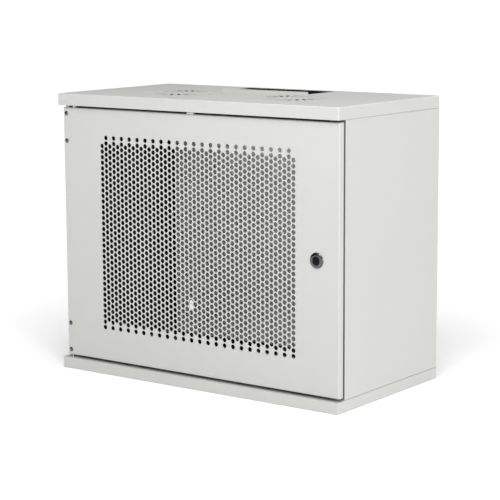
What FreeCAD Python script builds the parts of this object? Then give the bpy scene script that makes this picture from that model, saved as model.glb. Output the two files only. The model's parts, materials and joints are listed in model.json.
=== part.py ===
import FreeCAD, Part
import math
import os
import re

# Wall-mount 19-inch network cabinet with a perforated door, in millimetres.
# Frame: X to the right, Y to the back, Z up. The origin is under the middle of the base.

V = FreeCAD.Vector
doc = FreeCAD.newDocument("rack_cabinet")

# ---------------------------------------------------------------- driving dimensions
SIZES = [
    ("width", 600, "outside width"),
    ("depth", 315, "outside depth"),
    ("height", 500, "outside height, without the lip on the roof"),
    ("wall", 1.2, "steel sheet of the casing and of the door"),
    ("bend", 1.8, "outside radius of the sheet's bends"),
    ("cap_height", 21, "height of the folded roof"),
    ("base_height", 20, "height of the folded base"),
    ("tray_return", 18, "return flange of the roof and of the base"),
    ("side_setback", 20.5, "side panels' front flange behind the front of the roof"),
    ("front_flange", 30, "width of the side panels' front flange"),
    ("side_return", 15, "side panels' other flanges"),
    ("member_height", 30, "height of the cross members behind the door's edges"),
    ("member_flange", 20, "their horizontal flange"),
    ("door_setback", 5, "door face behind the front of the roof"),
    ("door_depth", 12, "depth of the door's folded rim"),
    ("door_hinge_inset", 8.5, "door edge inside the casing's left side"),
    ("door_lock_inset", 1.5, "door edge inside the casing's right side"),
    ("door_top_gap", 4, "gap over the door"),
    ("door_bottom_gap", 5, "gap under the door"),
    ("hole_bore", 8.2, "perforation: hole diameter"),
    ("hole_pitch", 9.85, "perforation: pitch of the holes in a column"),
    ("column_pitch", 8.92, "perforation: pitch of the columns"),
    ("hole_columns", 47, "perforation: columns"),
    ("hole_rows", 34, "perforation: holes in each column"),
    ("holes_drop", 75, "top row of holes below the top of the casing"),
    ("stiffener_width", 15, "channels behind the door's solid margins"),
    ("stiffener_inset", 5, "ends of the channels inside the door's top and bottom edges"),
    ("stiffener_gap", 4, "from the perforation to a channel"),
    ("rack_pitch", 465.1, "between the two columns of rail holes"),
    ("rack_opening", 450, "between the two rails"),
    ("rack_unit", 44.45, "one height unit"),
    ("rack_units", 9, "height units"),
    ("rail_sheet", 2, "steel of the rails"),
    ("rail_width", 26, "rail face"),
    ("rail_web", 30, "rail web, front to back"),
    ("rail_setback", 45, "rails behind the side panels' front flange"),
    ("rail_hole", 9.5, "square hole"),
    ("rail_end", 20, "rail beyond the first and last unit"),
    ("support_length", 220, "rail supports, front to back"),
    ("support_height", 30, "rail supports' height"),
    ("support_inset", 25, "rail supports' middle inside the rail's ends"),
    ("support_lip", 10, "lips welded to the side panel"),
    ("support_front", 8, "rail supports behind the front flange"),
    ("slot_length", 120, "adjusting slot"),
    ("bolt_bore", 6, "rail bolts and earth stud"),
    ("bolt_setback", 18, "rail bolts behind the rail's face"),
    ("bolt_length", 14, "rail bolts under the head"),
    ("bolt_head_height", 4, "rail bolts' head height"),
    ("nut_width", 10, "rail bolts' heads and nuts, across flats"),
    ("nut_height", 5, "height of the nuts"),
    ("screw_bore", 5, "casing screws"),
    ("screw_head", 10, "diameter of the casing screws' heads"),
    ("screw_head_height", 2.5, "height of the casing screws' heads"),
    ("screw_length", 5, "casing screws under the head"),
    ("screw_reach", 101, "roof and base screws: from the middle of the depth"),
    ("rear_screw_inset", 30, "end screws of the rear panel: from the ends of the side panels"),
    ("play", 0.2, "radial clearance of a screw in a plain hole"),
    ("entry_width", 190, "cable entries: width"),
    ("entry_depth", 90, "cable entries: depth"),
    ("entry_back", 12, "cable entries: from the back of the casing"),
    ("lip_height", 4, "turned-up lip of the roof's cable entry"),
    ("fan_offset", 119.5, "fan vents: from the middle plane"),
    ("fan_setback", 130, "fan vents: from the front"),
    ("fan_slots", 24, "slots in a vent"),
    ("fan_slot_width", 5.5, "slot width"),
    ("fan_inner", 30, "inner radius of the ring of slots"),
    ("fan_outer", 62, "outer radius of the ring of slots"),
    ("fan_tilt", 16, "degrees between a slot and the radius"),
    ("fan_screws", 105, "square of the fan screw holes"),
    ("fan_screw_bore", 4.5, "fan screw holes"),
    ("stud_inset", 60, "earth stud: from the casing's left side"),
    ("stud_setback", 63, "earth stud: from the back of the casing"),
    ("key_pitch_x", 500, "wall keyholes, across"),
    ("key_pitch_z", 366, "wall keyholes, up"),
    ("key_bore", 14, "keyhole: round part"),
    ("key_slot", 7, "keyhole: slot width"),
    ("key_rise", 14, "keyhole: from the round part's middle to the slot's top"),
    ("hinge_pitch", 381, "between the middles of the two hinges"),
    ("hinge_height", 60, "height of a hinge bracket"),
    ("rivet_pitch", 49, "between the two rivets of a bracket"),
    ("rivet_bore", 4, "diameter of the rivets"),
    ("rivet_tail", 5.2, "diameter of the rivets' closed ends"),
    ("rivet_tail_height", 0.5, "height of the rivets' closed ends"),
    ("pin_bore", 4, "hinge pin diameter"),
    ("pin_clear", 0.3, "between the hinge pin and the rivets' closed ends"),
    ("pin_reach", 8, "hinge pin beyond the flange that it turns in"),
    ("running_play", 0.06, "radial clearance of a turning fit"),
    ("bracket_sheet", 1, "steel of the hinge brackets"),
    ("bracket_width", 12, "width of the hinge brackets"),
    ("ear_rise", 3.4, "bracket ears beyond the pin's axis"),
    ("window_width", 8, "width of the bracket's window and of its two inner ears"),
    ("window_edge", 9.5, "from the bracket's outer end to its window"),
    ("collar", 3.3, "radius of the pin's collar"),
    ("collar_height", 2, "height of the pin's collar"),
    ("handle_length", 14, "bent end of the pin, for pulling it"),
    ("handle_bore", 3.6, "diameter of the bent end"),
    ("handle_drop", 6, "bent end beyond the bracket"),
    ("spring_wire", 0.8, "hinge spring wire"),
    ("spring_play", 0.3, "between the spring and the pin"),
    ("spring_turns", 9, "turns of a hinge spring"),
    ("dome_head", 8, "diameter of the rivets' dome heads"),
    ("dome_rise", 1.8, "height of the dome heads"),
    ("lock_inset", 43.5, "lock axis inside the door's edge"),
    ("bezel_bore", 26, "lock bezel diameter"),
    ("bezel_rise", 3, "lock bezel height"),
    ("bezel_round", 1.5, "rounding of the bezel's rim"),
    ("lock_bore", 19, "lock housing diameter behind the door"),
    ("plug_bore", 14, "lock cylinder diameter"),
    ("plug_drop", 0.9, "lock cylinder's face behind the bezel's"),
    ("plug_square", 8, "square end of the lock cylinder"),
    ("key_cut_width", 1.2, "key slot: width"),
    ("key_cut_length", 9, "key slot: length"),
    ("key_cut_depth", 5, "key slot: depth"),
    ("lock_nut_width", 26, "lock nut across flats"),
    ("lock_nut_height", 5, "lock nut height"),
    ("cam_sheet", 2, "cam thickness"),
    ("cam_reach", 35, "cam reach from the lock axis"),
    ("cam_width", 14, "cam width"),
    ("cam_eye", 21, "diameter of the cam's round end"),
    ("cam_screw_bore", 3, "cam screw diameter"),
    ("cam_screw_head", 11, "diameter of the cam screw's head"),
    ("cam_screw_head_height", 2, "height of the cam screw's head"),
    ("cam_screw_length", 6, "cam screw behind the cam's rear face, into the cylinder"),
    ("cam_clear", 1, "cam behind the front flange"),
    ("buffer_height", 3, "buffers on top of the door: height"),
    ("buffer_depth", 6, "buffers: front to back"),
    ("buffer_length", 14, "middle buffer: length"),
    ("buffer_offset", 5, "middle buffer: left of the middle plane"),
    ("end_buffer_length", 5, "buffer over the hinge: length"),
    ("end_buffer_inset", 23, "buffer over the hinge: from the door's edge"),
]
sizes = doc.addObject("Spreadsheet::Sheet", "sizes")
for row, (alias, number, note) in enumerate(SIZES, start=1):
    sizes.set(f"A{row}", alias)
    sizes.set(f"B{row}", str(number))
    sizes.set(f"C{row}", note)
    sizes.setAlias(f"B{row}", alias)
doc.recompute()
NAMES = {alias for alias, number, note in SIZES}


def formula(text):
    """A formula on the sheet's aliases, as the expression engine reads it."""
    return re.sub(r"[a-z_]+", lambda word: "sizes." + word[0] if word[0] in NAMES else word[0], str(text))


def size(text):
    """The number that such a formula gives now."""
    return float(doc.sizes.evalExpression(formula(text).replace("sizes.", "")))


# ---------------------------------------------------------------- places that several pieces share
FRONT = "-depth/2"
BACK = "depth/2"
CAP_Z = "(height - cap_height)"
FLANGE_Y = "(-depth/2 + side_setback)"
FACE_Y = "(-depth/2 + door_setback)"
SHEET_BACK_Y = "(-depth/2 + door_setback + wall)"
RIM_Y = "(-depth/2 + door_setback + door_depth)"
DOOR_LEFT = "(-width/2 + door_hinge_inset)"
DOOR_RIGHT = "(width/2 - door_lock_inset)"
DOOR_BOTTOM = "(base_height + door_bottom_gap)"
DOOR_TOP = "(height - cap_height - door_top_gap)"
DOOR_WIDTH = "(width - door_hinge_inset - door_lock_inset)"
DOOR_HEIGHT = "(height - cap_height - door_top_gap - base_height - door_bottom_gap)"
DOOR_MID_X = "((door_hinge_inset - door_lock_inset)/2)"
DOOR_MID_Z = "((height - cap_height - door_top_gap + base_height + door_bottom_gap)/2)"
PIVOT_X = "(-width/2 + door_hinge_inset + wall + bracket_width/2)"
PIVOT_Y = ("(-depth/2 + door_setback + wall + bracket_sheet + rivet_tail_height"
           " + pin_clear + pin_bore/2)")
LOCK_X = "(width/2 - door_lock_inset - lock_inset)"
RAIL_Y = "(-depth/2 + side_setback + rail_setback)"
RAIL_HEIGHT = "(rack_units*rack_unit + 2*rail_end)"
RAIL_OUTER = "(rack_opening/2 + rail_width)"
MID_Z = "((height - cap_height + base_height)/2)"
SUPPORT_Z = "(rack_units*rack_unit/2 + rail_end - support_inset)"
CAM_Y = "(-depth/2 + side_setback + wall + cam_clear)"
ENTRY_Y = "(depth/2 - entry_back - entry_depth)"
SIDES = {"left": -1, "right": 1}
LEVELS = {"lower": -1, "upper": 1}
UNIT_HOLES = (6.35, 22.225, 38.1)  # middles of the three holes, up from the bottom of a height unit


# ---------------------------------------------------------------- helpers
def bind(feature, **formulas):
    """Bind properties to formulas; base_x, base_y and base_z bind the place."""
    for name, text in formulas.items():
        path = "Placement.Base." + name[-1] if name.startswith("base_") else name
        feature.setExpression(path, formula(text))


def body(name):
    piece = doc.addObject("PartDesign::Body", name)
    piece.Label = name
    return piece


def block(piece, kind, low, high):
    """Add or cut a box between two corners, each given as three formulas."""
    box = piece.newObject(f"PartDesign::{kind}Box", f"{piece.Name}_block")
    bind(box, base_x=low[0], base_y=low[1], base_z=low[2])
    bind(box, Length=f"({high[0]}) - ({low[0]})", Width=f"({high[1]}) - ({low[1]})",
         Height=f"({high[2]}) - ({low[2]})")
    return box


def add(piece, low, high):
    return block(piece, "Additive", low, high)


def cut(piece, low, high):
    return block(piece, "Subtractive", low, high)


def rod(piece, kind, axis, start, radius, length):
    """Add or cut a cylinder that runs from start along +X, +Y or +Z."""
    shape = piece.newObject(f"PartDesign::{kind}Cylinder", f"{piece.Name}_rod")
    turn = {"z": (V(0, 0, 1), 0), "y": (V(1, 0, 0), -90), "x": (V(0, 1, 0), 90)}[axis]
    shape.Placement.Rotation = FreeCAD.Rotation(*turn)
    bind(shape, base_x=start[0], base_y=start[1], base_z=start[2], Radius=radius, Height=length)
    return shape


def add_rod(piece, axis, start, radius, length):
    return rod(piece, "Additive", axis, start, radius, length)


def cut_rod(piece, axis, start, radius, length):
    return rod(piece, "Subtractive", axis, start, radius, length)


def round_edges(piece, radius, chosen):
    """Round the edges of a body's tip that the function chosen accepts."""
    doc.recompute()
    tip = piece.Tip
    names = [f"Edge{n}" for n, edge in enumerate(tip.Shape.Edges, start=1) if chosen(edge)]
    fillet = piece.newObject("PartDesign::Fillet", f"{piece.Name}_bends")
    fillet.Base = (tip, names)
    bind(fillet, Radius=radius)
    return fillet


def runs_along(edge, axis):
    """True for a straight edge along the axis 0, 1 or 2."""
    box = edge.BoundBox
    spans = (box.XLength, box.YLength, box.ZLength)
    return all(spans[n] > 1 if n == axis else spans[n] < 0.01 for n in range(3))


def near(number, text):
    return abs(number - size(text)) < 0.01


def plain_sketch(piece, name, role, offset):
    """A sketch on one of the body's own planes, moved by offset in the plane's own axes."""
    plane = next(item for item in piece.Origin.OriginFeatures if item.Role == role)
    sketch = piece.newObject("Sketcher::SketchObject", name)
    sketch.AttachmentSupport = [(plane, "")]
    sketch.MapMode = "FlatFace"
    for axis, text in zip("xyz", offset):
        sketch.setExpression(f"AttachmentOffset.Base.{axis}", formula(text))
    return sketch


def closed_path(sketch, points):
    for start, end in zip(points, points[1:] + points[:1]):
        sketch.addGeometry(Part.LineSegment(V(*start, 0), V(*end, 0)), False)


def obround(sketch, centre, half_length, radius, angle):
    """A slot with round ends about centre, turned by angle in radians."""
    along = V(math.cos(angle), math.sin(angle), 0)
    across = V(-along.y, along.x, 0)
    middle = V(centre[0], centre[1], 0)
    near_end = middle - along * half_length
    far_end = middle + along * half_length
    sketch.addGeometry(Part.LineSegment(near_end - across * radius, far_end - across * radius), False)
    sketch.addGeometry(Part.LineSegment(far_end + across * radius, near_end + across * radius), False)
    for end, first in ((far_end, angle - math.pi / 2), (near_end, angle + math.pi / 2)):
        arc = Part.ArcOfCircle(Part.Circle(end, V(0, 0, 1), radius), first, first + math.pi)
        sketch.addGeometry(arc, False)


def pocket(piece, sketch, length):
    """Cut a sketch both ways, so that it reaches through the sheet it lies in."""
    doc.recompute()
    before = piece.Shape.Volume
    feature = piece.newObject("PartDesign::Pocket", f"{piece.Name}_cut")
    feature.Profile = sketch
    feature.Midplane = True
    bind(feature, Length=length)
    doc.recompute()
    if not piece.Shape.Volume < before:
        raise RuntimeError(f"{feature.Name} cuts nothing")
    return feature


def group(name, solids):
    """Identical loose fasteners as one object of separate solids."""
    piece = doc.addObject("Part::Feature", name)
    piece.Label = name
    piece.Shape = Part.makeCompound(solids)
    return piece


# ---------------------------------------------------------------- roof and base
def tray(name, low_z, high_z, open_z, open_top):
    """A folded tray with return flanges. Its open side is from low_z or up to high_z."""
    piece = body(name)
    add(piece, ("-width/2", FRONT, low_z), ("width/2", BACK, high_z))
    cut(piece, ("-width/2 + wall", FRONT + " + wall", low_z + " + wall"),
        ("width/2 - wall", BACK + " - wall", high_z + " - wall"))
    cut(piece, ("-width/2 + tray_return", FRONT + " + tray_return", open_z),
        ("width/2 - tray_return", BACK + " - tray_return", open_z + " + wall"))
    skin = low_z if open_top else high_z

    def outer_bend(edge):
        box = edge.BoundBox
        at_side, at_end = near(abs(box.Center.x), "width/2"), near(abs(box.Center.y), "depth/2")
        upright = runs_along(edge, 2) and at_side and at_end
        level = near(box.Center.z, skin) and (
            runs_along(edge, 0) and at_end or runs_along(edge, 1) and at_side)
        return upright or level
    round_edges(piece, "bend", outer_bend)
    return piece


def screw_places():
    """Where the roof and the base are screwed to the side panels' flanges."""
    for side in SIDES.values():
        for end in (-1, 1):
            yield f"{side}*(width/2 - side_return/2)", f"{end}*screw_reach"


top_cap = tray("top_cap", CAP_Z, "height", CAP_Z, False)
cut(top_cap, ("-entry_width/2", ENTRY_Y, CAP_Z + " - wall"),
    ("entry_width/2", ENTRY_Y + " + entry_depth", "height + wall"))
add(top_cap, ("-entry_width/2", ENTRY_Y + " - wall", "height - wall"),
    ("entry_width/2", ENTRY_Y, "height + lip_height"))
for sign in SIDES.values():
    vent = plain_sketch(top_cap, "fan_vent", "XY_Plane",
                        (f"{sign}*fan_offset", FRONT + " + fan_setback", "height - wall/2"))
    ring = size("(fan_inner + fan_outer)/2")
    for step in range(int(size("fan_slots"))):
        turn = 2 * math.pi * step / size("fan_slots")
        obround(vent, (ring * math.cos(turn), ring * math.sin(turn)),
                size("(fan_outer - fan_inner - fan_slot_width)/2"), size("fan_slot_width/2"),
                turn - sign * math.radians(size("fan_tilt")))
    half = size("fan_screws/2")
    for x, y in ((half, half), (-half, half), (-half, -half), (half, -half)):
        vent.addGeometry(Part.Circle(V(x, y, 0), V(0, 0, 1), size("fan_screw_bore/2")), False)
    pocket(top_cap, vent, "4*wall")
for x, y in screw_places():
    cut_rod(top_cap, "z", (x, y, CAP_Z + " - wall"), "screw_bore/2", "3*wall")
cut_rod(top_cap, "z", (PIVOT_X, PIVOT_Y, CAP_Z + " - wall"), "pin_bore/2 + running_play", "3*wall")

base_tray = tray("base_tray", "0", "base_height", "base_height - wall", True)
cut(base_tray, ("-entry_width/2", ENTRY_Y, "-wall"),
    ("entry_width/2", ENTRY_Y + " + entry_depth", "base_height + wall"))
for x, y in screw_places():
    cut_rod(base_tray, "z", (x, y, "base_height - 2*wall"), "screw_bore/2", "3*wall")
cut_rod(base_tray, "z", (PIVOT_X, PIVOT_Y, "base_height - 2*wall"), "pin_bore/2 + running_play", "3*wall")


# ---------------------------------------------------------------- side panels and rear panel
def from_side(side, inset):
    """X at a distance inside the casing's left or right side."""
    return f"{SIDES[side]}*(width/2 - ({inset}))"


def across(side, near_inset, far_inset):
    """The lower and the higher X between two distances inside a side."""
    ends = from_side(side, near_inset), from_side(side, far_inset)
    return ends if side == "left" else ends[::-1]


REAR_SCREW_HEIGHTS = ("base_height + rear_screw_inset", MID_Z, CAP_Z + " - rear_screw_inset")


def side_panel(side):
    piece = body(f"{side}_side_panel")
    low_x, high_x = across(side, "0", "front_flange")
    add(piece, (low_x, FLANGE_Y, "base_height"), (high_x, BACK + " - wall", CAP_Z))
    low_x, high_x = across(side, "wall", "front_flange + wall")
    cut(piece, (low_x, FLANGE_Y + " + wall", "base_height + wall"),
        (high_x, BACK + " - 2*wall", CAP_Z + " - wall"))
    low_x, high_x = across(side, "side_return", "front_flange + wall")
    cut(piece, (low_x, FLANGE_Y + " + wall", "base_height - wall"), (high_x, BACK, CAP_Z + " + wall"))

    def outer_bend(edge):
        box = edge.BoundBox
        if not near(abs(box.Center.x), "width/2"):
            return False
        upright = runs_along(edge, 2) and near(box.Center.y, FLANGE_Y)
        level = runs_along(edge, 1) and (near(box.Center.z, "base_height") or near(box.Center.z, CAP_Z))
        return upright or level
    round_edges(piece, "bend", outer_bend)
    for x, y in screw_places():
        if x.startswith(f"{SIDES[side]}*"):
            cut_rod(piece, "z", (x, y, CAP_Z + " - 2*wall"), "screw_bore/2 + play", "3*wall")
            cut_rod(piece, "z", (x, y, "base_height - wall"), "screw_bore/2 + play", "3*wall")
    for z in REAR_SCREW_HEIGHTS:
        cut_rod(piece, "y", (from_side(side, "side_return/2"), BACK + " - 3*wall", z),
                "screw_bore/2 + play", "3*wall")
    return piece


def hinge_middle(level):
    return f"{MID_Z} + {LEVELS[level]}*hinge_pitch/2"


left_side_panel = side_panel("left")
right_side_panel = side_panel("right")

rear_panel = body("rear_panel")
add(rear_panel, ("-width/2", BACK + " - wall", "base_height"), ("width/2", BACK, CAP_Z))
keyholes = plain_sketch(rear_panel, "keyholes", "XZ_Plane", ("0", MID_Z, "-depth/2 + wall/2"))
for sign_x in (-1, 1):
    for sign_z in (-1, 1):
        centre = V(sign_x * size("key_pitch_x/2"), sign_z * size("key_pitch_z/2"), 0)
        bore, slot, rise = size("key_bore/2"), size("key_slot/2"), size("key_rise - key_slot/2")
        shoulder = math.asin(slot / bore)
        right = centre + V(slot, bore * math.cos(shoulder), 0)
        left = centre + V(-slot, bore * math.cos(shoulder), 0)
        round_part = Part.Circle(centre, V(0, 0, 1), bore)
        keyholes.addGeometry(Part.ArcOfCircle(round_part, math.pi / 2 + shoulder,
                                              5 * math.pi / 2 - shoulder), False)
        keyholes.addGeometry(Part.LineSegment(right, centre + V(slot, rise, 0)), False)
        slot_end = Part.Circle(centre + V(0, rise, 0), V(0, 0, 1), slot)
        keyholes.addGeometry(Part.ArcOfCircle(slot_end, 0, math.pi), False)
        keyholes.addGeometry(Part.LineSegment(centre + V(-slot, rise, 0), left), False)
pocket(rear_panel, keyholes, "4*wall")
for side in SIDES:
    for z in REAR_SCREW_HEIGHTS:
        cut_rod(rear_panel, "y", (from_side(side, "side_return/2"), BACK + " - 2*wall", z),
                "screw_bore/2", "3*wall")


# ---------------------------------------------------------------- cross members behind the door's edges
def cross_member(name, low_z, high_z, flange_z):
    piece = body(name)
    add(piece, ("-width/2 + side_return", FLANGE_Y + " + wall", low_z),
        ("width/2 - side_return", FLANGE_Y + " + 2*wall", high_z))
    add(piece, ("-width/2 + side_return", FLANGE_Y + " + wall", flange_z),
        ("width/2 - side_return", FLANGE_Y + " + wall + member_flange", flange_z + " + wall"))
    return piece


front_top_member = cross_member("front_top_member", CAP_Z + " - member_height", CAP_Z, CAP_Z + " - wall")
front_bottom_member = cross_member("front_bottom_member", "base_height",
                                   "base_height + member_height", "base_height")


# ---------------------------------------------------------------- 19-inch rails and their supports
def from_middle(side, low, high):
    """The lower and the higher X between two distances from the middle plane."""
    ends = f"{SIDES[side]}*({low})", f"{SIDES[side]}*({high})"
    return ends if side == "right" else ends[::-1]


def rack_rail(side):
    piece = body(f"rack_rail_{side}")
    low_z, high_z = f"{MID_Z} - {RAIL_HEIGHT}/2", f"{MID_Z} + {RAIL_HEIGHT}/2"
    low_x, high_x = from_middle(side, "rack_opening/2", RAIL_OUTER)
    add(piece, (low_x, RAIL_Y, low_z), (high_x, RAIL_Y + " + rail_sheet", high_z))
    low_x, high_x = from_middle(side, RAIL_OUTER + " - rail_sheet", RAIL_OUTER)
    add(piece, (low_x, RAIL_Y, low_z), (high_x, RAIL_Y + " + rail_web", high_z))
    holes = plain_sketch(piece, f"{side}_rail_holes", "XZ_Plane",
                         (f"{SIDES[side]}*rack_pitch/2", MID_Z, "-(" + RAIL_Y + " + rail_sheet/2)"))
    half = size("rail_hole/2")
    bottom = -size("rack_units*rack_unit/2")
    for unit in range(int(size("rack_units"))):
        for place in UNIT_HOLES:
            z = bottom + unit * size("rack_unit") + place
            closed_path(holes, [(-half, z - half), (half, z - half), (half, z + half), (-half, z + half)])
    pocket(piece, holes, "3*rail_sheet")
    for level in LEVELS.values():
        start = f"{SIDES[side]}*{RAIL_OUTER} - 2*rail_sheet"
        cut_rod(piece, "x", (start, RAIL_Y + " + bolt_setback", f"{MID_Z} + {level}*{SUPPORT_Z}"),
                "bolt_bore/2 + play", "4*rail_sheet")
    return piece


def rail_support(level, side):
    """A channel welded to the side panel by its lips, with a long slot for the rail's bolt."""
    piece = body(f"{level}_{side}_rail_support")
    middle = f"({MID_Z} + {LEVELS[level]}*{SUPPORT_Z})"
    low_y = FLANGE_Y + " + wall + support_front"
    high_y = low_y + " + support_length"
    low_x, high_x = from_middle(side, RAIL_OUTER, "width/2 - wall")
    add(piece, (low_x, low_y, middle + " - support_height/2"),
        (high_x, high_y, middle + " + support_height/2"))
    low_x, high_x = from_middle(side, RAIL_OUTER + " + rail_sheet", "width/2")
    cut(piece, (low_x, low_y + " - wall", middle + " - support_height/2 + wall"),
        (high_x, high_y + " + wall", middle + " + support_height/2 - wall"))
    low_x, high_x = from_middle(side, "width/2 - 2*wall", "width/2 - wall")
    for sign in (-1, 1):
        low_z = f"{middle} + {sign}*(support_height/2 + support_lip/2) - support_lip/2"
        add(piece, (low_x, low_y, low_z), (high_x, high_y, low_z + " + support_lip"))
    slot = plain_sketch(piece, f"{level}_{side}_slot", "YZ_Plane",
                        (low_y + " + support_length/2", middle,
                         f"{SIDES[side]}*({RAIL_OUTER} + rail_sheet/2)"))
    obround(slot, (0, 0), size("slot_length/2 - bolt_bore/2"), size("bolt_bore/2 + play"), 0)
    pocket(piece, slot, "3*rail_sheet")
    return piece


for side in SIDES:
    rack_rail(side)
    for level in LEVELS:
        rail_support(level, side)


# ---------------------------------------------------------------- fasteners, made once and copied
def cylinder(radius, length, start, direction):
    return Part.makeCylinder(radius, length, start, direction)


def hexagon(width, length, start, direction):
    """A hexagonal prism of a width across flats."""
    corner = width / math.sqrt(3)
    points = [V(corner * math.cos(n * math.pi / 3), corner * math.sin(n * math.pi / 3), 0) for n in range(7)]
    prism = Part.Face(Part.makePolygon(points)).extrude(V(0, 0, length))
    prism.Placement = FreeCAD.Placement(start, FreeCAD.Rotation(V(0, 0, 1), direction))
    return prism


HEAD_ROUND = 0.6  # share of a head's height that is rounded


def pan_screw(radius, length, start, direction, head_radius, head_rise):
    """Start is under the head; direction is from the head to the tip."""
    head = cylinder(head_radius, head_rise, start, direction * -1)
    top = start - direction * head_rise
    rim = [edge for edge in head.Edges if (edge.CenterOfMass - top).Length < 0.01 and len(edge.Vertexes) == 1]
    head = head.makeFillet(HEAD_ROUND * min(head_rise, head_radius), rim)
    return head.fuse(cylinder(radius, length, start, direction))


def point(x, y, z):
    return V(size(x), size(y), size(z))


UP, DOWN, BACKWARD = V(0, 0, 1), V(0, 0, -1), V(0, 1, 0)
wall = size("wall")


def casing_screw(start, direction, length):
    """A pan-head screw whose head bears on a flange inside the casing."""
    return pan_screw(size("screw_bore/2"), size(length), start, direction,
                     size("screw_head/2"), size("screw_head_height"))


group("cap_screws", [casing_screw(point(x, y, CAP_Z + " - wall"), UP, "screw_length")
                     for x, y in screw_places()])
group("base_screws", [casing_screw(point(x, y, "base_height + wall"), DOWN, "screw_length")
                      for x, y in screw_places()])
group("rear_panel_screws",
      [casing_screw(point(from_side(side, "side_return/2"), BACK + " - 2*wall", z), BACKWARD, "2*wall")
       for side in SIDES for z in REAR_SCREW_HEIGHTS])
bolts = []
nuts = []
bolt = size("bolt_bore/2")
for side, sign in SIDES.items():
    for level in LEVELS.values():
        z = f"{MID_Z} + {level}*{SUPPORT_Z}"
        y = RAIL_Y + " + bolt_setback"
        outward = V(sign, 0, 0)
        web = point(f"{sign}*({RAIL_OUTER} - rail_sheet)", y, z)
        shank = cylinder(bolt, size("bolt_length"), web, outward)
        bolts.append(hexagon(size("nut_width"), size("bolt_head_height"), web, outward * -1).fuse(shank))
        nut = hexagon(size("nut_width"), size("nut_height"), web + outward * size("2*rail_sheet"), outward)
        nuts.append(nut.cut(shank))
group("rail_bolts", bolts)
group("rail_nuts", nuts)

stud_foot = point("-width/2 + stud_inset", "depth/2 - stud_setback", "wall")
stud = cylinder(bolt, size("base_height - 3*wall"), stud_foot, UP)
group("earth_stud", [stud])
group("earth_nut", [hexagon(size("nut_width"), size("nut_height"), stud_foot, UP).cut(stud)])


# ---------------------------------------------------------------- hinges: sprung pins behind the door
def outward(level, near_end, far_end):
    """The lower and the higher Z between two distances from a bracket's middle towards its pin's tip."""
    ends = (f"({hinge_middle(level)} + {LEVELS[level]}*({near_end}))",
            f"({hinge_middle(level)} + {LEVELS[level]}*({far_end}))")
    return ends if level == "upper" else ends[::-1]


WINDOW_END = "(hinge_height/2 - window_edge)"
PIN_TIP = "((height - cap_height - base_height)/2 + pin_reach - hinge_pitch/2)"


def hinge_bracket(level):
    """A plate riveted behind the door, with an ear at each end and two ears bent out of its window."""
    piece = body(f"{level}_hinge_bracket")
    low_x, high_x = PIVOT_X + " - bracket_width/2", PIVOT_X + " + bracket_width/2"
    low_z, high_z = outward(level, "-hinge_height/2", "hinge_height/2")
    add(piece, (low_x, SHEET_BACK_Y, low_z), (high_x, SHEET_BACK_Y + " + bracket_sheet", high_z))
    low_z, high_z = outward(level, "-" + WINDOW_END, WINDOW_END)
    cut(piece, (PIVOT_X + " - window_width/2", FACE_Y, low_z),
        (PIVOT_X + " + window_width/2", PIVOT_Y, high_z))
    for start, ear_width in (("-hinge_height/2", "bracket_width"),
                             (f"-{WINDOW_END} - bracket_sheet", "window_width"),
                             (WINDOW_END, "window_width"),
                             ("hinge_height/2 - bracket_sheet", "bracket_width")):
        low_z, high_z = outward(level, start, f"{start} + bracket_sheet")
        add(piece, (f"{PIVOT_X} - {ear_width}/2", SHEET_BACK_Y, low_z),
            (f"{PIVOT_X} + {ear_width}/2", PIVOT_Y + " + ear_rise", high_z))
    low_z, high_z = outward(level, "-hinge_height", "hinge_height")
    cut_rod(piece, "z", (PIVOT_X, PIVOT_Y, low_z), "pin_bore/2 + running_play", "2*hinge_height")
    for reach in (-1, 1):
        cut_rod(piece, "y", (PIVOT_X, FACE_Y, f"{hinge_middle(level)} + {reach}*rivet_pitch/2"),
                "rivet_bore/2", "2*wall + 2*bracket_sheet")
    return piece


def hinge_pin(level):
    """The pin, with a collar that the spring pushes against the outer window ear, and a bent end."""
    piece = body(f"{level}_hinge_pin")
    low_z, high_z = outward(level, "-hinge_height/2 - handle_drop - handle_bore/2", PIN_TIP)
    add_rod(piece, "z", (PIVOT_X, PIVOT_Y, low_z), "pin_bore/2", f"{high_z} - {low_z}")
    low_z, high_z = outward(level, f"{WINDOW_END} - collar_height", WINDOW_END)
    add_rod(piece, "z", (PIVOT_X, PIVOT_Y, low_z), "collar", "collar_height")
    handle_z = f"{hinge_middle(level)} - {LEVELS[level]}*(hinge_height/2 + handle_drop)"
    add_rod(piece, "x", (PIVOT_X, PIVOT_Y, handle_z), "handle_bore/2", "handle_length")
    return piece


def hinge_spring(level):
    """A compression spring round the pin, from the inner window ear to the collar."""
    wire = size("spring_wire")
    low_z, high_z = (size(z) for z in outward(level, "-" + WINDOW_END, f"{WINDOW_END} - collar_height"))
    radius = size("pin_bore/2 + spring_play") + wire / 2
    length = high_z - low_z - wire
    helix = Part.makeHelix(length / size("spring_turns"), length, radius)
    rise = length / size("spring_turns")
    start = V(radius, 0, 0)
    direction = V(0, 2 * math.pi * radius, rise)
    profile = Part.Wire(Part.Circle(start, direction, wire / 2).toShape())
    coil = Part.Wire(helix.Edges).makePipeShell([profile], True, True)
    coil.Placement = FreeCAD.Placement(V(size(PIVOT_X), size(PIVOT_Y), low_z + wire / 2), FreeCAD.Rotation())
    piece = doc.addObject("Part::Feature", f"{level}_hinge_spring")
    piece.Label = f"{level}_hinge_spring"
    piece.Shape = coil
    print(piece.Label, "wire volume", round(coil.Volume, 1), "against",
          round(math.pi * wire ** 2 / 4 * math.hypot(length, 2 * math.pi * radius * size("spring_turns")), 1))
    return piece


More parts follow.
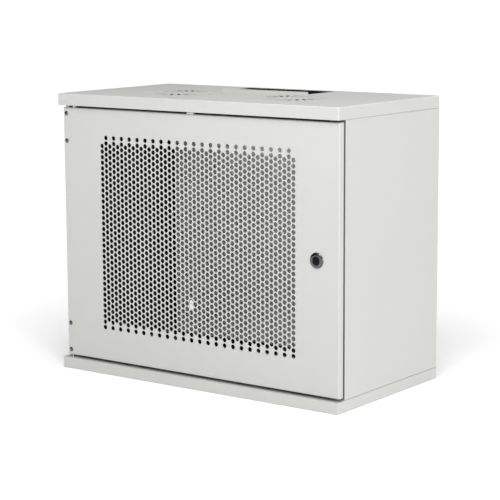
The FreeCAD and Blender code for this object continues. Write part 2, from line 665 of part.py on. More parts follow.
rivets = []
for level in LEVELS:
    hinge_bracket(level)
    hinge_pin(level)
    hinge_spring(level)
    for reach in (-1, 1):
        z = f"{hinge_middle(level)} + {reach}*rivet_pitch/2"
        dome = pan_screw(size("rivet_bore/2"), size("wall + bracket_sheet"), point(PIVOT_X, FACE_Y, z),
                         BACKWARD, size("dome_head/2"), size("dome_rise"))
        tail = cylinder(size("rivet_tail/2"), size("rivet_tail_height"),
                        point(PIVOT_X, SHEET_BACK_Y + " + bracket_sheet", z), BACKWARD)
        rivets.append(dome.fuse(tail))
group("hinge_rivets", rivets)


# ---------------------------------------------------------------- door
def perforated_sheet():
    """The perforated middle of the door: columns of holes, every other one set half a pitch lower."""
    rows, columns = int(size("hole_rows")), int(size("hole_columns"))
    pitch, column_pitch, radius = size("hole_pitch"), size("column_pitch"), size("hole_bore/2")
    middle_x = size(DOOR_MID_X)
    top_z = size("height - holes_drop")
    front = size(FACE_Y)
    half_width = (columns - 1) / 2 * column_pitch + pitch
    low_z = top_z - (rows + 1) * pitch - radius
    high_z = top_z + pitch
    left, right = middle_x - half_width, middle_x + half_width
    outline = Part.makePolygon([V(left, front, low_z), V(right, front, low_z), V(right, front, high_z),
                                V(left, front, high_z), V(left, front, low_z)])
    rims = []
    for column in range(columns):
        x = middle_x + (column - (columns - 1) / 2) * column_pitch
        drop = 1.5 * pitch if column % 2 == 0 else 0
        for row in range(rows):
            rim = Part.Circle(V(x, front, top_z - drop - row * pitch), V(0, 1, 0), radius)
            rims.append(Part.Wire(rim.toShape()))
    return Part.Face([outline] + rims).extrude(V(0, size("wall"), 0)), outline.BoundBox


door_tray = body("door_tray")
add(door_tray, (DOOR_LEFT, FACE_Y, DOOR_BOTTOM), (DOOR_RIGHT, RIM_Y, DOOR_TOP))
cut(door_tray, (DOOR_LEFT + " + wall", SHEET_BACK_Y, DOOR_BOTTOM + " + wall"),
    (DOOR_RIGHT + " - wall", RIM_Y + " + wall", DOOR_TOP + " - wall"))
round_edges(door_tray, "bend",
            lambda edge: near(edge.BoundBox.Center.y, FACE_Y) and edge.BoundBox.YLength < 0.01)
for level in LEVELS:
    low_z, high_z = outward(level, "hinge_height/2", "hinge_height/2 + 4*pin_bore")
    cut_rod(door_tray, "z", (PIVOT_X, PIVOT_Y, low_z), "pin_bore/2 + 2*play", "4*pin_bore")
    for reach in (-1, 1):
        rivet_z = f"{hinge_middle(level)} + {reach}*rivet_pitch/2"
        cut_rod(door_tray, "y", (PIVOT_X, FACE_Y + " - wall", rivet_z), "rivet_bore/2", "3*wall")
cut_rod(door_tray, "y", (LOCK_X, FACE_Y + " - wall", DOOR_MID_Z), "lock_bore/2 + play", "3*wall")
doc.recompute()
perforation, window = perforated_sheet()
opening = Part.makeBox(window.XLength, 4 * wall, window.ZLength,
                       V(window.XMin, window.YMin - wall, window.ZMin))
door_panel = doc.addObject("Part::Feature", "door_panel")
door_panel.Shape = door_tray.Shape.cut(opening).fuse(perforation)
door_panel.Label = "door_panel"

for side, sign in SIDES.items():
    channel = body(f"door_stiffener_{side}")
    inner = "(hole_columns - 1)/2*column_pitch + hole_pitch + stiffener_gap"
    ends = [f"{DOOR_MID_X} + {sign}*({inner})", f"{DOOR_MID_X} + {sign}*({inner} + stiffener_width)"]
    low_x, high_x = ends if side == "right" else ends[::-1]
    low_z, high_z = DOOR_BOTTOM + " + stiffener_inset", DOOR_TOP + " - stiffener_inset"
    add(channel, (low_x, SHEET_BACK_Y, low_z), (high_x, RIM_Y + " - wall", high_z))
    cut(channel, (low_x + " + wall", SHEET_BACK_Y + " - wall", low_z + " - wall"),
        (high_x + " - wall", RIM_Y + " - 2*wall", high_z + " + wall"))

buffers = []
for middle, length in (("-buffer_offset", "buffer_length"),
                       (DOOR_LEFT + " + end_buffer_inset", "end_buffer_length")):
    low = point(f"{middle} - {length}/2", FACE_Y + " + wall", DOOR_TOP)
    buffers.append(Part.makeBox(size(length), size("buffer_depth"), size("buffer_height"), low))
group("door_buffers", buffers)


# ---------------------------------------------------------------- cam lock
housing = body("lock_housing")
add_rod(housing, "y", (LOCK_X, FACE_Y + " - bezel_rise", DOOR_MID_Z), "bezel_bore/2", "bezel_rise")
round_edges(housing, "bezel_round", lambda edge: near(edge.BoundBox.Center.y, FACE_Y + " - bezel_rise")
            and len(edge.Vertexes) == 1)
add_rod(housing, "y", (LOCK_X, FACE_Y, DOOR_MID_Z), "lock_bore/2", "side_setback - door_setback - play")
cut_rod(housing, "y", (LOCK_X, FACE_Y + " - 2*bezel_rise", DOOR_MID_Z), "plug_bore/2",
        "side_setback + 2*bezel_rise")

nut_place = point(LOCK_X, SHEET_BACK_Y, DOOR_MID_Z)
lock_nut = hexagon(size("lock_nut_width"), size("lock_nut_height"), nut_place, BACKWARD)
thread = cylinder(size("lock_bore/2"), size("2*lock_nut_height"), nut_place - BACKWARD, BACKWARD)
group("lock_nut", [lock_nut.cut(thread)])

plug = body("lock_cylinder")
PLUG_Y = f"({FACE_Y} - bezel_rise + plug_drop)"
add_rod(plug, "y", (LOCK_X, PLUG_Y, DOOR_MID_Z), "plug_bore/2 - running_play", f"{CAM_Y} - {PLUG_Y}")
add(plug, (LOCK_X + " - plug_square/2", CAM_Y, DOOR_MID_Z + " - plug_square/2"),
    (LOCK_X + " + plug_square/2", CAM_Y + " + cam_sheet", DOOR_MID_Z + " + plug_square/2"))
cut(plug, (LOCK_X + " - key_cut_width/2", PLUG_Y + " - wall", DOOR_MID_Z + " - key_cut_length/2"),
    (LOCK_X + " + key_cut_width/2", PLUG_Y + " + key_cut_depth", DOOR_MID_Z + " + key_cut_length/2"))
cut_rod(plug, "y", (LOCK_X, CAM_Y + " + cam_sheet - cam_screw_length", DOOR_MID_Z),
        "cam_screw_bore/2", "2*cam_screw_length")

cam = body("lock_cam")
add_rod(cam, "y", (LOCK_X, CAM_Y, DOOR_MID_Z), "cam_eye/2", "cam_sheet")
add(cam, (LOCK_X + " - cam_width/2", CAM_Y, DOOR_MID_Z + " - cam_reach"),
    (LOCK_X + " + cam_width/2", CAM_Y + " + cam_sheet", DOOR_MID_Z))
cut(cam, (LOCK_X + " - plug_square/2", CAM_Y + " - wall", DOOR_MID_Z + " - plug_square/2"),
    (LOCK_X + " + plug_square/2", CAM_Y + " + 2*cam_sheet", DOOR_MID_Z + " + plug_square/2"))

cam_screw = body("cam_screw")
add_rod(cam_screw, "y", (LOCK_X, CAM_Y + " + cam_sheet - cam_screw_length", DOOR_MID_Z),
        "cam_screw_bore/2", "cam_screw_length")
add_rod(cam_screw, "y", (LOCK_X, CAM_Y + " + cam_sheet", DOOR_MID_Z),
        "cam_screw_head/2", "cam_screw_head_height")

# ---------------------------------------------------------------- check and write
doc.recompute()
for item in doc.Objects:
    if {"Invalid", "Error"} & set(item.State):
        raise RuntimeError(f"{item.Name} failed: {item.State}")
pieces = [item for item in doc.Objects
          if item.TypeId in ("PartDesign::Body", "Part::Feature") and item.Label != "door_tray"]
for piece in pieces:
    if piece.Shape.isNull() or not piece.Shape.isValid():
        raise RuntimeError(f"{piece.Label} has no valid shape")
os.makedirs("parts", exist_ok=True)
for piece in pieces:
    piece.Shape.exportStep(f"parts/{piece.Label}.step")
    print(piece.Label, len(piece.Shape.Solids), round(piece.Shape.Volume))
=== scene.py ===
# %% [markdown]
# # A wall-mount network cabinet, finished for a studio picture
# The folded steel pieces arrive finished in shape, so they need a paint that looks sprayed and baked.
# The small pieces that carry the eye are modelled again here: the lock's bezel, the rivets, the nut,
# the buffers and the hinge springs. Everything is in metres, with Z up and the door facing -Y.

# %% Load the frame
import json
import math

import bpy
from mathutils import Matrix, Vector


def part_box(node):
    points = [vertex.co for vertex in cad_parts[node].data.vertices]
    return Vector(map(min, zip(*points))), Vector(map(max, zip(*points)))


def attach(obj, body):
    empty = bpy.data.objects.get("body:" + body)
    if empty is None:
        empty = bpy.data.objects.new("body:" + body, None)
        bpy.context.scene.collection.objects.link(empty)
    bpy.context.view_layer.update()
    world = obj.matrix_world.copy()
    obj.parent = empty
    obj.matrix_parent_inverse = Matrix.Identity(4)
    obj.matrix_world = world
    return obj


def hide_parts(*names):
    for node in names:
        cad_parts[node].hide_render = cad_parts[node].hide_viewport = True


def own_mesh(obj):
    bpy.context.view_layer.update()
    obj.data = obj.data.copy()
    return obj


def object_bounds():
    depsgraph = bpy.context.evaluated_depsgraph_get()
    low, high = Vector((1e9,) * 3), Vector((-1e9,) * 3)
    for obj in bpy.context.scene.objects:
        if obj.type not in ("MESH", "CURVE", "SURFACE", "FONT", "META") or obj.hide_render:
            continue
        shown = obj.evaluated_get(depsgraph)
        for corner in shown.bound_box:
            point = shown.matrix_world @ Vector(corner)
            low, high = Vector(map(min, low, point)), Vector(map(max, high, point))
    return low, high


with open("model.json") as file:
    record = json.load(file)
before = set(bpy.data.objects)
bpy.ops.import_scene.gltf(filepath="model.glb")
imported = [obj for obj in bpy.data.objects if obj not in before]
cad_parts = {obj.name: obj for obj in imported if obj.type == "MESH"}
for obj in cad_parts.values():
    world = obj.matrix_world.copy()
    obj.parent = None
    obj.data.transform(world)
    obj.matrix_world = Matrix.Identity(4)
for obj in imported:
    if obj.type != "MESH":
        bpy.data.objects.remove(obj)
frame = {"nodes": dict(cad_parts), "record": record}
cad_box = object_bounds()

NODES = frame["nodes"]
LOW, HIGH = (Vector(corner) for corner in cad_box)
MIDDLE = (LOW + HIGH) / 2
MM = 0.001
print("nodes", len(NODES), "box in mm", [round(v / MM, 1) for v in HIGH - LOW])


# %% [markdown]
# ## Camera
# A long lens from far away keeps the verticals almost parallel, which suits a box of flat sheets. It
# looks at the corner between the door and the right side, from a little above.

# %% Camera
AZIMUTH = math.radians(36.405)
ELEVATION = math.radians(9.244)
ROLL = math.radians(-0.266)
DISTANCE = 3.04
LENS = 122.8
AIM = Vector((0.0020, 0.0086, 0.2223))


def add_camera():
    data = bpy.data.cameras.new("camera")
    data.lens = LENS
    data.sensor_width = 36
    camera = bpy.data.objects.new("camera", data)
    bpy.context.collection.objects.link(camera)
    level = math.cos(ELEVATION)
    away = Vector((math.sin(AZIMUTH) * level, -math.cos(AZIMUTH) * level, math.sin(ELEVATION)))
    camera.location = AIM + away * DISTANCE
    turn = (-away).to_track_quat("-Z", "Y").to_matrix()
    camera.rotation_euler = (turn @ Matrix.Rotation(ROLL, 3, "Z")).to_euler()
    bpy.context.scene.camera = camera
    return camera


camera = add_camera()
print("camera at", [round(v, 3) for v in camera.location])


# %% [markdown]
# ## Shader arithmetic
# A socket wrapped in `Value` can be added, multiplied and compared like a number, and each operation
# leaves one Math node behind. `Shading` holds one node tree and makes any other node, and `Finish` is
# the shading of one material.

# %% Shader helpers
class Value:
    """One output socket, for use in Python arithmetic."""

    def __init__(self, shading, socket):
        self.shading = shading
        self.socket = socket

    def math(self, operation, other=None, swap=False):
        """A Math node on this value and another one, in that order or swapped."""
        inputs = {1: self, 0: other} if swap else {0: self}
        if other is not None and not swap:
            inputs[1] = other
        return self.shading.node("ShaderNodeMath", {"operation": operation}, inputs)

    def __add__(self, other): return self.math("ADD", other)
    def __radd__(self, other): return self.math("ADD", other, swap=True)
    def __sub__(self, other): return self.math("SUBTRACT", other)
    def __rsub__(self, other): return self.math("SUBTRACT", other, swap=True)
    def __mul__(self, other): return self.math("MULTIPLY", other)
    def __rmul__(self, other): return self.math("MULTIPLY", other, swap=True)
    def __truediv__(self, other): return self.math("DIVIDE", other)
    def __gt__(self, other): return self.math("GREATER_THAN", other)
    def __lt__(self, other): return self.math("LESS_THAN", other)


class Shading:
    """A node tree, with one method that makes any node in it."""

    def __init__(self, owner):
        owner.use_nodes = True
        self.tree = owner.node_tree

    def node(self, kind, settings=None, inputs=None, output=0):
        made = self.tree.nodes.new(kind)
        for key, setting in (settings or {}).items():
            if key == "stops":
                elements = made.color_ramp.elements
                while len(elements) < len(setting):
                    elements.new(1.0)
                for element, (position, level) in zip(elements, setting):
                    element.position = position
                    element.color = (level, level, level, 1.0)
            else:
                setattr(made, key, setting)
        for key, source in (inputs or {}).items():
            if isinstance(source, Value):
                self.tree.links.new(source.socket, made.inputs[key])
            else:
                made.inputs[key].default_value = source
        return Value(self, made.outputs[output])

    def axis(self, vector, name):
        return self.node("ShaderNodeSeparateXYZ", inputs={0: vector}, output=name)


class Finish(Shading):
    """A material with a Principled shader. Constants are given as words, such as Metallic=1.0."""

    def __init__(self, name, **constants):
        self.material = bpy.data.materials.new(name)
        super().__init__(self.material)
        self.shader = self.tree.nodes["Principled BSDF"]
        self.place = self.node("ShaderNodeTexCoord", output="Object")
        for socket, number in constants.items():
            self.shader.inputs[socket.replace("_", " ")].default_value = number

    def feed(self, socket, source):
        self.tree.links.new(source.socket, self.shader.inputs[socket])

    def noise(self, scale, detail=2.0, roughness=0.5, stretch=None):
        place = self.place
        if stretch:
            place = self.node("ShaderNodeMapping", inputs={"Vector": place, "Scale": stretch})
        inputs = {"Vector": place, "Scale": scale, "Detail": detail, "Roughness": roughness}
        return self.node("ShaderNodeTexNoise", inputs=inputs, output="Fac")

    def blend(self, factor, first, second):
        colours = [(*colour, 1.0) if isinstance(colour, tuple) else colour for colour in (first, second)]
        inputs = {0: factor, 6: colours[0], 7: colours[1]}
        return self.node("ShaderNodeMix", {"data_type": "RGBA"}, inputs, output=2)

    def bump(self, height, distance, strength, normal):
        inputs = {"Height": height, "Distance": distance, "Strength": strength, "Normal": normal}
        return self.node("ShaderNodeBump", inputs=inputs)

    def soft_edges(self, radius):
        return self.node("ShaderNodeBevel", {"samples": 4}, {"Radius": radius})


def shade(colour, factor):
    return tuple(min(1.0, channel * factor) for channel in colour)


# %% [markdown]
# ## Powder coat
# Powder coat is a thick baked film. Close up it has a fine orange-peel ripple a millimetre or two
# across, with a finer grain on top, and it rounds every edge a little. The ripple and the grain are two
# noises that feed a bump, and a Bevel node rounds the sheet's sharp edges by a fraction of a millimetre.
# A large, faint cloud keeps the wide faces from looking like one flat colour.

# %% Powder coat
COAT = (0.500, 0.500, 0.487)


def powder_coat(name, colour, roughness=0.42, gloss=0.5):
    finish = Finish(name, Metallic=0.0, IOR=1.5)
    finish.shader.inputs["Specular IOR Level"].default_value = gloss
    grain = finish.noise(2600.0, 1.0)
    ripple = finish.noise(620.0, 2.0)
    cloud = finish.noise(7.0, 3.0)
    tone = cloud * 0.7 + grain * 0.3
    finish.colour = finish.blend(tone, shade(colour, 0.965), shade(colour, 1.035))
    finish.feed("Base Color", finish.colour)
    finish.feed("Roughness", ripple * 0.10 + cloud * 0.06 + (roughness - 0.08))
    edge = finish.soft_edges(0.5 * MM)
    finish.feed("Normal", finish.bump(ripple * 0.7 + grain * 0.3, 0.03 * MM, 0.5, edge))
    return finish


coat = powder_coat("powder_coat", COAT).material
# The black coat is the black steel parts' own colour, and also painted shade on the two front cross
# members.
black_coat_and_shade = powder_coat("black_coat_and_shade", (0.016, 0.016, 0.017), 0.50).material
print("coats", coat.name, black_coat_and_shade.name)


# %% [markdown]
# ## Painted shade on the inside faces
# The casing's sheets are painted nearly black on the inside, as painted shade for the dark inside of the
# closed box, and keep the light coat outside. A sheet is little more than a millimetre thick, so the box
# that encloses a folded piece, shrunk by half the sheet, tells the two
# sides apart: what lies inside the shrunk box is an inside face. Six comparisons make the shade mask. The
# side panels' boxes reach past the front, so that the flanges behind the door get a dark grey of painted
# shade for the shadowed gap, and the two cross members there are painted black all over as shade. The rear
# panel is painted a lighter grey on both sides, as painted light for the light that falls on it through
# the door.

# %% Two-sided coat with painted shade
HALF_SHEET = 0.6 * MM
ROOF_HEIGHT = 21 * MM
# How much lighter the rear panel is painted, as painted light for the light that falls on it through the
# door.
REAR_PAINTED_LIGHT = 1.3
# Painted shade: the colour laid on every inside face of the casing.
INSIDE_PAINTED_SHADE = (0.012, 0.012, 0.013)
# Share of the painted shade that the flanges behind the door take, for the shadowed gap round the door.
FLANGE_SHADE_SHARE = 0.7


def painted_shade_coat(name, low, high, flange_back):
    """Powder coat with painted shade inside the box from low to high, and less of it before flange_back.
    """
    finish = powder_coat(name, COAT)
    shade_mask = None
    for axis, start, end in zip("XYZ", low, high):
        position = finish.axis(finish.place, axis)
        within = (position > start) * (position < end)
        shade_mask = within if shade_mask is None else shade_mask * within
    flange = finish.axis(finish.place, "Y") < flange_back
    # Painted shade: full inside the box, and a share of it on the flanges before flange_back.
    shade_level = shade_mask * (1 - flange * (1 - FLANGE_SHADE_SHARE))
    finish.feed("Base Color", finish.blend(shade_level, finish.colour, INSIDE_PAINTED_SHADE))
    return finish.material


def shrunk_box(node):
    low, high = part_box(node)
    return [v + HALF_SHEET for v in low], [v - HALF_SHEET for v in high]


# The rear panel's lighter coat is painted light.
rear_lit_coat = powder_coat("rear_lit_coat", shade(COAT, REAR_PAINTED_LIGHT)).material
# The two front cross members take the black coat as painted shade, and the rear panel the lighter coat as
# painted light.
coats_with_painted_light = {"front_top_member": black_coat_and_shade, "front_bottom_member": black_coat_and_shade, "rear_panel": rear_lit_coat}
for node in ("left_side_panel", "right_side_panel", "base_tray", "top_cap"):
    low, high = shrunk_box(node)
    if node == "top_cap":
        high[2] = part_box("rear_panel")[1].z + ROOF_HEIGHT - HALF_SHEET
    flange_back = low[1]
    if node.endswith("side_panel"):
        low[1] -= 2 * HALF_SHEET
    coats_with_painted_light[node] = painted_shade_coat(f"{node}_coat", low, high, flange_back)
    print(node, "dark between", [round(v / MM, 1) for v in low], [round(v / MM, 1) for v in high])


# %% [markdown]
# ## Plated and polished metal
# The screws, nuts and brackets are zinc plated: a cool grey with pale and dark clouds from the bath and
# fine drawn lines. The bezel and the rivets are dark polished nickel, so nearly all of their look is
# reflection, and only a faint smear in the roughness tells them from a perfect mirror.

# %% Metals
def plated(name, colour, roughness):
    finish = Finish(name, Metallic=1.0)
    cloud = finish.noise(55.0, 4.0, 0.6)
    drawn = finish.noise(900.0, 2.0, 0.5, (1.0, 1.0, 0.06))
    finish.feed("Base Color", finish.blend(cloud * 0.8 + drawn * 0.2, shade(colour, 0.80), colour))
    finish.feed("Roughness", cloud * 0.14 + drawn * 0.08 + roughness)
    finish.feed("Normal", finish.bump(drawn, 0.01 * MM, 0.4, finish.soft_edges(0.2 * MM)))
    return finish.material


def polished(name, colour, roughness):
    finish = Finish(name, Metallic=1.0)
    smear = finish.noise(120.0, 3.0)
    fine = finish.noise(1500.0, 1.0)
    finish.feed("Base Color", finish.blend(smear, shade(colour, 0.94), colour))
    finish.feed("Roughness", smear * 0.06 + fine * 0.03 + roughness)
    finish.feed("Normal", finish.bump(smear, 0.01 * MM, 0.15, finish.soft_edges(0.1 * MM)))
    return finish.material


def moulded(name, colour, roughness, gloss=0.5):
    finish = Finish(name, Metallic=0.0, IOR=1.46)
    finish.shader.inputs["Specular IOR Level"].default_value = gloss
    grain = finish.noise(1800.0, 2.0)
    cloud = finish.noise(40.0, 2.0)
    finish.feed("Base Color", finish.blend(cloud, shade(colour, 0.9), colour))
    finish.feed("Roughness", grain * 0.12 + roughness)
    finish.feed("Normal", finish.bump(grain, 0.02 * MM, 0.4, finish.soft_edges(0.2 * MM)))
    return finish.material


zinc = plated("zinc", (0.60, 0.61, 0.62), 0.30)
chrome = polished("chrome", (0.13, 0.13, 0.135), 0.05)
black_plug = moulded("black_plug", (0.006, 0.006, 0.007), 0.22, 0.12)
buffer_plastic = moulded("buffer", (0.70, 0.70, 0.68), 0.50)
FINISHES = {"powder_coat": coat, "black_steel": black_coat_and_shade, "zinc": zinc, "chrome": chrome,
            "black_plug": black_plug, "buffer": buffer_plastic}
for part in frame["record"]["subparts"]:
    for holder in NODES[part["node"]].material_slots:
        holder.material = coats_with_painted_light.get(part["node"], FINISHES[part["material_slot"]])
print("painted", len(NODES), "nodes")


# %% [markdown]
# ## Modelling by operators
# Each new piece starts from a primitive and is shaped by the tools that a hand would use. Everything is
# deselected first, because an operator acts on all that is selected. `turned` is a lathe: it begins with
# one circle and extrudes it ring by ring along a profile, which gives clean quads and closed ends.

# %% Helpers for new pieces
ROUND_STEPS = 48


def begin():
    bpy.ops.object.select_all(action="DESELECT")


def settle(name, body, slot, replaced):
    """Close the open mesh, put its place into the mesh, and give it its finish and its body."""
    bpy.ops.object.mode_set(mode="OBJECT")
    piece = bpy.context.object
    piece.name = name
    bpy.ops.object.transform_apply(location=True, rotation=True, scale=True)
    bpy.ops.object.shade_smooth_by_angle(angle=math.radians(32))
    piece.data.materials.clear()
    piece.data.materials.append(FINISHES[slot])
    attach(piece, body)
    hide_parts(replaced)
    return piece


def ring_of(centre, radius):
    bpy.ops.mesh.primitive_circle_add(vertices=ROUND_STEPS, radius=radius, location=centre,
                                      rotation=(math.radians(90), 0, 0))
    bpy.ops.object.mode_set(mode="EDIT")


def turned(centre, profile, closed):
    """Turn a profile of (radius, distance behind centre) round the Y axis through centre."""
    begin()
    (radius, behind), rest = profile[0], profile[1:]
    ring_of(centre + Vector((0, behind, 0)), radius)
    for next_radius, next_behind in rest:
        bpy.ops.mesh.extrude_region_move(TRANSFORM_OT_translate={"value": (0, next_behind - behind, 0)})
        ratio = next_radius / radius
        middle = centre + Vector((0, next_behind, 0))
        bpy.ops.transform.resize(value=(ratio, 1, ratio), center_override=middle)
        radius, behind = next_radius, next_behind
    if closed:
        bpy.ops.mesh.edge_face_add()
    bpy.ops.mesh.select_all(action="SELECT")
    bpy.ops.mesh.remove_doubles(threshold=0.001 * MM)
    if closed:
        bpy.ops.mesh.select_all(action="DESELECT")
        bpy.ops.mesh.select_mode(type="EDGE")
        bpy.ops.mesh.select_non_manifold()
        bpy.ops.mesh.edge_face_add()
        bpy.ops.mesh.select_mode(type="VERT")
    bpy.ops.mesh.select_all(action="SELECT")
    bpy.ops.mesh.normals_make_consistent(inside=False)
    bpy.ops.object.mode_set(mode="OBJECT")
    return bpy.context.object


def volume(piece):
    """Signed volume in cubic millimetres: above zero when the faces point out and the mesh is closed."""
    start = piece.data.vertices[0].co
    total = 0.0
    for face in piece.data.polygons:
        corners = [piece.data.vertices[index].co - start for index in face.vertices]
        for second, third in zip(corners[1:-1], corners[2:]):
            total += corners[0].dot(second.cross(third)) / 6
    return total / MM ** 3


# %% [markdown]
# ## Rivets
# Each hinge bracket hangs on the door by two dome rivets. A dome head could be half a ball, but a real
# one is a shallow cap with a tight rolled rim, so its profile is turned: a shank, the flat underside,
# a short upright rim and then five rings that follow a circle's arc.

# %% Rivets
def dome_profile(head_radius, rise, shank_radius, grip, tail_radius, tail_rise):
    profile = [(tail_radius * 0.2, grip + tail_rise), (tail_radius * 0.8, grip + tail_rise),
               (tail_radius, grip + tail_rise * 0.6), (tail_radius, grip), (shank_radius, grip),
               (shank_radius, 0.0), (head_radius, 0.0), (head_radius, -0.12 * rise)]
    steps = 6
    for step in range(1, steps):
        turn = math.pi / 2 * step / steps
        profile.append((head_radius * math.cos(turn), -rise * (0.12 + 0.88 * math.sin(turn))))
    profile.append((0.02 * MM, -rise))
    return profile


def solids_of(node):
    """The boxes of a node's separate solids, found from vertices that share a place."""
    begin()
    source = NODES[node]
    copy = source.copy()
    copy.data = source.data.copy()
    copy.parent = None
    bpy.context.collection.objects.link(copy)
    copy.select_set(True)
    bpy.context.view_layer.objects.active = copy
    bpy.ops.object.mode_set(mode="EDIT")
    bpy.ops.mesh.select_all(action="SELECT")
    bpy.ops.mesh.remove_doubles(threshold=0.001 * MM)
    bpy.ops.mesh.separate(type="LOOSE")
    bpy.ops.object.mode_set(mode="OBJECT")
    boxes = []
    for shell in list(bpy.context.selected_objects):
        corners = [vertex.co for vertex in shell.data.vertices]
        boxes.append((Vector(map(min, *corners)), Vector(map(max, *corners))))
        bpy.data.objects.remove(shell)
    return sorted(boxes, key=lambda box: tuple(round(v, 4) for v in box[0]))


def copy_of(piece, name, move):
    """Another piece of the same shape with its own mesh."""
    copy = piece.copy()
    copy.data = piece.data.copy()
    copy.name = name
    copy.data.transform(Matrix.Translation(move))
    bpy.context.collection.objects.link(copy)
    return copy


RIVET_SHANK = 2.0 * MM
RIVET_GRIP = 2.2 * MM
RIVET_TAIL = 2.6 * MM
RIVET_TAIL_RISE = 0.5 * MM

rivet_boxes = solids_of("hinge_rivets")
low, high = rivet_boxes[0]
face_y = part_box("door_panel")[0].y
rivet_centre = Vector(((low.x + high.x) / 2, face_y, (low.z + high.z) / 2))
turned(rivet_centre, dome_profile((high.x - low.x) / 2, face_y - low.y, RIVET_SHANK, RIVET_GRIP,
                                  RIVET_TAIL, RIVET_TAIL_RISE), closed=True)
rivets = [settle("hinge_rivet_1", "door", "chrome", "hinge_rivets")]
for number, (low, high) in enumerate(rivet_boxes[1:], start=2):
    move = Vector((0, 0, (low.z + high.z) / 2 - rivet_centre.z))
    rivets.append(copy_of(rivets[0], f"hinge_rivet_{number}", move))
print("rivets", [rivet.name for rivet in rivets], "volume", round(volume(rivets[0]), 1))


# %% [markdown]
# ## Lock bezel
# The lock sits in a polished ring that rises in one smooth curve from the door to a crest round the key
# barrel. It is the shiniest piece of the cabinet, so its curve must be smooth: the profile climbs in
# small steps, turns over the crest, and goes back through the door as the sleeve that the nut holds.

# %% Lock bezel
lock_low, lock_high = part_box("lock_housing")
lock_centre = Vector(((lock_low.x + lock_high.x) / 2, face_y, (lock_low.z + lock_high.z) / 2))
bezel_radius = (lock_high.x - lock_low.x) / 2
bezel_rise = face_y - lock_low.y
bore = 7.05 * MM
sleeve = 9.5 * MM


def bezel_profile():
    crest = bore + 0.8 * MM
    end = lock_high.y - face_y
    profile = [(bore, end), (sleeve - 0.4 * MM, end), (sleeve, end - 0.4 * MM), (sleeve, 0.0),
               (bezel_radius, 0.0)]
    steps = 10
    for step in range(steps + 1):
        turn = math.pi / 2 * step / steps
        profile.append((crest + (bezel_radius - crest) * math.cos(turn),
                        -bezel_rise * (0.15 + 0.85 * math.sin(turn))))
    profile += [(bore + 0.2 * MM, -bezel_rise + 0.25 * MM), (bore, -bezel_rise * 0.80), (bore, end)]
    return profile


turned(lock_centre, bezel_profile(), closed=False)
bezel = settle("lock_bezel", "door", "chrome", "lock_housing")
print("bezel", len(bezel.data.polygons), "faces, volume", round(volume(bezel), 1))


# %% [markdown]
# ## Lock nut
# A big flat hexagon nut holds the sleeve behind the door. It is a six-sided cylinder with an inset
# hole; a bevel takes the corners off, as the chamfer of a real nut does.

# %% Lock nut
def add_lock_nut():
    begin()
    low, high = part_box("lock_nut")
    bpy.ops.mesh.primitive_cylinder_add(vertices=6, radius=(high.x - low.x) / 2, depth=high.y - low.y,
                                        location=(low + high) / 2, rotation=(math.radians(90), 0, 0))
    nut = bpy.context.object
    if high.z - low.z > high.x - low.x:
        nut.rotation_euler.y = math.radians(30)
    bpy.ops.object.transform_apply(location=False, rotation=True, scale=True)
    bpy.ops.object.mode_set(mode="EDIT")
    bpy.ops.mesh.select_all(action="SELECT")
    bpy.ops.mesh.bevel(offset=0.6 * MM, segments=2, affect="EDGES")
    bpy.ops.object.mode_set(mode="OBJECT")
    begin()
    bpy.ops.mesh.primitive_cylinder_add(vertices=ROUND_STEPS, radius=sleeve, depth=0.02,
                                        location=(low + high) / 2, rotation=(math.radians(90), 0, 0))
    drill = bpy.context.object
    begin()
    nut.select_set(True)
    bpy.context.view_layer.objects.active = nut
    hole = nut.modifiers.new("hole", "BOOLEAN")
    hole.operation = "DIFFERENCE"
    hole.solver = "EXACT"
    hole.object = drill
    bpy.ops.object.modifier_apply(modifier="hole")
    bpy.data.objects.remove(drill)
    return settle("lock_ring_nut", "door", "zinc", "lock_nut")


lock_ring_nut = add_lock_nut()
print("nut", len(lock_ring_nut.data.polygons), "faces, volume", round(volume(lock_ring_nut), 1))


# %% [markdown]
# ## Buffers
# Two small plastic buffers stop the door's top edge from ringing against the roof. Each is a short
# block with rounded corners.

# %% Buffers
def add_buffer(name, low, high):
    begin()
    bpy.ops.mesh.primitive_cube_add(size=1, location=(low + high) / 2)
    bpy.context.object.scale = high - low
    bpy.ops.object.transform_apply(location=False, rotation=False, scale=True)
    bpy.ops.object.mode_set(mode="EDIT")
    bpy.ops.mesh.select_all(action="SELECT")
    bpy.ops.mesh.bevel(offset=0.8 * MM, segments=4, affect="EDGES")
    return settle(name, "door", "buffer", "door_buffers")


for number, (low, high) in enumerate(solids_of("door_buffers"), start=1):
    buffer = add_buffer(f"door_buffer_{number}", low, high)
    print(buffer.name, [round(v / MM, 1) for v in high - low])


# %% [markdown]
# ## Hinge springs
# Each hinge pin is pushed out by a coil spring, and the spring shortens when the pin is pulled. A Screw
# modifier turns a small circle round the pin's axis, nine turns over the spring's length, and the ends
# are closed.

# %% Hinge springs
SPRING_TURNS = 9


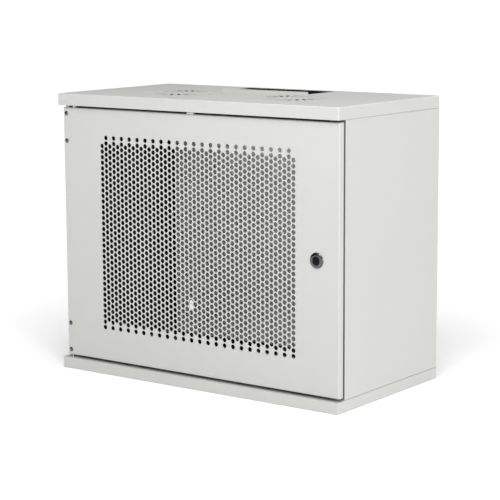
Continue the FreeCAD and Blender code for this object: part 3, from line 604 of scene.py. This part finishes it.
def add_spring(level):
    begin()
    node = f"{level}_hinge_spring"
    low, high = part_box(node)
    centre = (low + high) / 2
    wire = 0.4 * MM
    coil = (high.x - low.x) / 2 - wire
    bpy.ops.mesh.primitive_circle_add(vertices=10, radius=wire, rotation=(math.radians(90), 0, 0),
                                      location=(coil, 0, 0))
    bpy.ops.object.transform_apply(location=True, rotation=True, scale=True)
    spring = bpy.context.object
    screw = spring.modifiers.new("coil", "SCREW")
    screw.axis = "Z"
    screw.screw_offset = (high.z - low.z - 2 * wire) / SPRING_TURNS
    screw.iterations = SPRING_TURNS
    screw.steps = screw.render_steps = 28
    bpy.ops.object.modifier_apply(modifier="coil")
    spring.location = (centre.x, centre.y, low.z + wire)
    bpy.ops.object.mode_set(mode="EDIT")
    bpy.ops.mesh.select_all(action="DESELECT")
    bpy.ops.mesh.select_mode(type="EDGE")
    bpy.ops.mesh.select_non_manifold()
    bpy.ops.mesh.edge_face_add()
    bpy.ops.mesh.select_all(action="SELECT")
    bpy.ops.mesh.normals_make_consistent(inside=False)
    spring = settle(f"{level}_spring_coil", "door", "zinc", node)
    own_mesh(spring)
    return spring


for level in ("lower", "upper"):
    spring = add_spring(level)
    print(spring.name, len(spring.data.polygons), "faces, volume", round(volume(spring), 1))


# %% [markdown]
# ## Floor and light
# The floor is a pale sheet that runs far back, and the light is soft from all round. The surroundings
# are darker on the left, so that the polished pieces show a dark side. A large lamp beside the camera
# lights the bends of the sheets, and a weak one overhead lifts the roof and the floor. The floor glows a
# little, and more so far from the cabinet, as a studio's backlit sheet does, so that it stays nearly
# white out to the horizon.

# %% Floor
GLOW_NEAR = 0.08
GLOW_FAR = 0.42
GLOW_REACH = 2.2


def add_floor():
    begin()
    bpy.ops.mesh.primitive_plane_add(size=80, location=(0, 0, LOW.z))
    floor = bpy.context.object
    floor.name = "floor"
    finish = Finish("floor", Roughness=0.9)
    grain = finish.noise(300.0)
    finish.feed("Base Color", finish.blend(grain, (0.90, 0.90, 0.90), (0.94, 0.94, 0.94)))
    finish.shader.inputs["Specular IOR Level"].default_value = 0.0
    apart = finish.node("ShaderNodeVectorMath", {"operation": "LENGTH"}, {0: finish.place}, output="Value")
    stops = [(0.0, GLOW_NEAR), (0.2, GLOW_NEAR), (1.0, GLOW_FAR)]
    glow = finish.node("ShaderNodeValToRGB", {"stops": stops}, {0: apart / GLOW_REACH})
    finish.feed("Emission Color", glow)
    finish.shader.inputs["Emission Strength"].default_value = 1.0
    floor.data.materials.append(finish.material)
    return floor


floor = add_floor()
print("floor at", floor.location.z)


# %% Surroundings and lamps
SKY = 0.955
SIDE_LAMP = 30
DOOR_LAMP = 15
TOP_LAMP = 8


def add_surroundings():
    world = bpy.data.worlds.new("world")
    shading = Shading(world)
    towards = shading.node("ShaderNodeTexCoord", output="Generated")
    across = shading.axis(towards, "X")
    stops = [(0.0, 0.02), (0.20, 0.03), (0.36, 0.85), (1.0, 1.0)]
    level = shading.node("ShaderNodeValToRGB", {"stops": stops}, {0: across * 0.5 + 0.5})
    background = shading.tree.nodes["Background"]
    shading.tree.links.new(level.socket, background.inputs["Color"])
    background.inputs["Strength"].default_value = SKY
    bpy.context.scene.world = world


def add_lamp(name, place, width, height, power):
    data = bpy.data.lights.new(name, "AREA")
    data.shape = "RECTANGLE"
    data.size = width
    data.size_y = height
    data.energy = power
    lamp = bpy.data.objects.new(name, data)
    bpy.context.collection.objects.link(lamp)
    lamp.location = place
    lamp.rotation_euler = (MIDDLE - Vector(place)).to_track_quat("-Z", "Y").to_euler()
    return lamp


add_surroundings()
add_lamp("side_lamp", (2.9, -1.9, 0.8), 0.7, 1.6, SIDE_LAMP)
add_lamp("door_lamp", (0.5, -0.9, 1.55), 0.7, 0.7, DOOR_LAMP)
add_lamp("top_lamp", (-0.4, 0.1, 2.4), 1.2, 1.2, TOP_LAMP)
bpy.context.scene.view_settings.view_transform = "Standard"
print("lamps", [light.name for light in bpy.data.lights])
